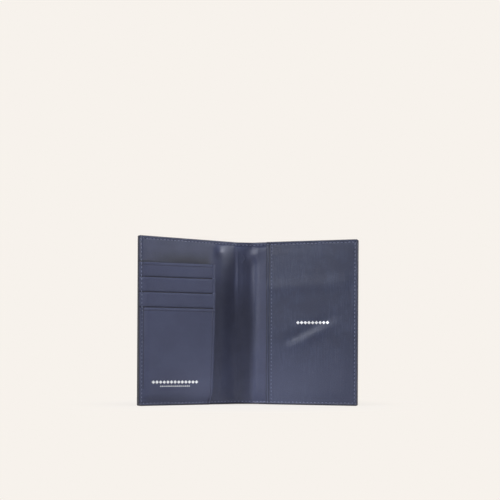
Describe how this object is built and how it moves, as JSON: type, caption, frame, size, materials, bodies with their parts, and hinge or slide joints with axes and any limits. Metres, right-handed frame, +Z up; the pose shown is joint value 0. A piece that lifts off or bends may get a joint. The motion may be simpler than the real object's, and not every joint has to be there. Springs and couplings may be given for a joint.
{
  "type": "passport holder",
  "caption": "Bifold leather passport holder: two covers folding at a soft spine, a full-height passport pocket on one side and a lifting card panel with slots on the other.",
  "frame": {"origin": "middle of the bottom edge of the spine's outer leather, on the surface the holder stands on", "axes": "+Z up along the spine, +X from the spine towards the passport cover, -Y towards the reader on the inside"},
  "size_m": [0.1852, 0.0429, 0.14],
  "materials": {
    "outer_leather": "smooth navy calf leather with fine grain",
    "lining_leather": "smooth navy lining leather, soft sheen",
    "pocket_leather": "navy leather with an upright boarded grain, soft sheen",
    "card_leather": "smooth navy leather, satin, creased edges",
    "stiffener_board": "bonded leather board, dark",
    "spine_tape": "woven reinforcing tape",
    "slot_cloth": "thin navy lining cloth",
    "seam_thread": "waxed polyester thread, light slate blue",
    "foil": "stamped white-silver foil"
  },
  "bodies": {
    "spine": {"spine_outer_leather": "outer_leather", "spine_reinforcement": "spine_tape", "spine_lining": "lining_leather", "spine_inside_thread": "seam_thread", "spine_outside_thread": "seam_thread"},
    "left_cover": {"left_outer_leather": "outer_leather", "left_stiffener": "stiffener_board", "left_lining": "lining_leather", "left_inside_thread": "seam_thread", "left_outside_thread": "seam_thread", "card_panel_sewn_border": "card_leather", "card_panel_thread": "seam_thread"},
    "card_flap": {"flap_backing": "card_leather", "flap_turned_border": "card_leather", "slot_1_cloth": "slot_cloth", "slot_1_leather": "card_leather", "slot_2_cloth": "slot_cloth", "slot_2_leather": "card_leather", "slot_3_cloth": "slot_cloth", "slot_3_leather": "card_leather", "slot_cloth_threads": "seam_thread", "front_card_pocket": "card_leather", "card_pocket_foil_mark": "foil"},
    "right_cover": {"right_outer_leather": "outer_leather", "right_stiffener": "stiffener_board", "right_lining": "lining_leather", "right_inside_thread": "seam_thread", "right_outside_thread": "seam_thread", "passport_pocket_sewn_border": "pocket_leather", "passport_pocket_thread": "seam_thread"},
    "passport_pocket": {"passport_pocket_panel": "pocket_leather", "passport_pocket_hem": "pocket_leather", "passport_pocket_hem_thread": "seam_thread", "passport_pocket_foil_mark": "foil"}
  },
  "joints": [
    {"name": "left_cover_fold", "type": "hinge", "parent": "spine", "child": "left_cover", "pos_m": [-0.006, -0.0027, 0], "axis": [0, 0, 1], "range_deg": [-23.5, 68]},
    {"name": "right_cover_fold", "type": "hinge", "parent": "spine", "child": "right_cover", "pos_m": [0.006, -0.0027, 0], "axis": [0, 0, -1], "range_deg": [-23.5, 68]},
    {"name": "card_flap_lift", "type": "hinge", "parent": "left_cover", "child": "card_flap", "pos_m": [-0.0891, -0.03829, 0], "axis": [0, 0, -1], "range_deg": [-9.5, 3.3]},
    {"name": "passport_pocket_lift", "type": "hinge", "parent": "right_cover", "child": "passport_pocket", "pos_m": [0.08837, -0.03797, 0], "axis": [0, 0, 1], "range_deg": [0, 4], "stiffness_Nm_per_rad": 0.02}
  ],
  "couplings": [
    {"joint": "card_flap_lift", "follows": "left_cover_fold", "ratio": -0.1397}
  ]
}
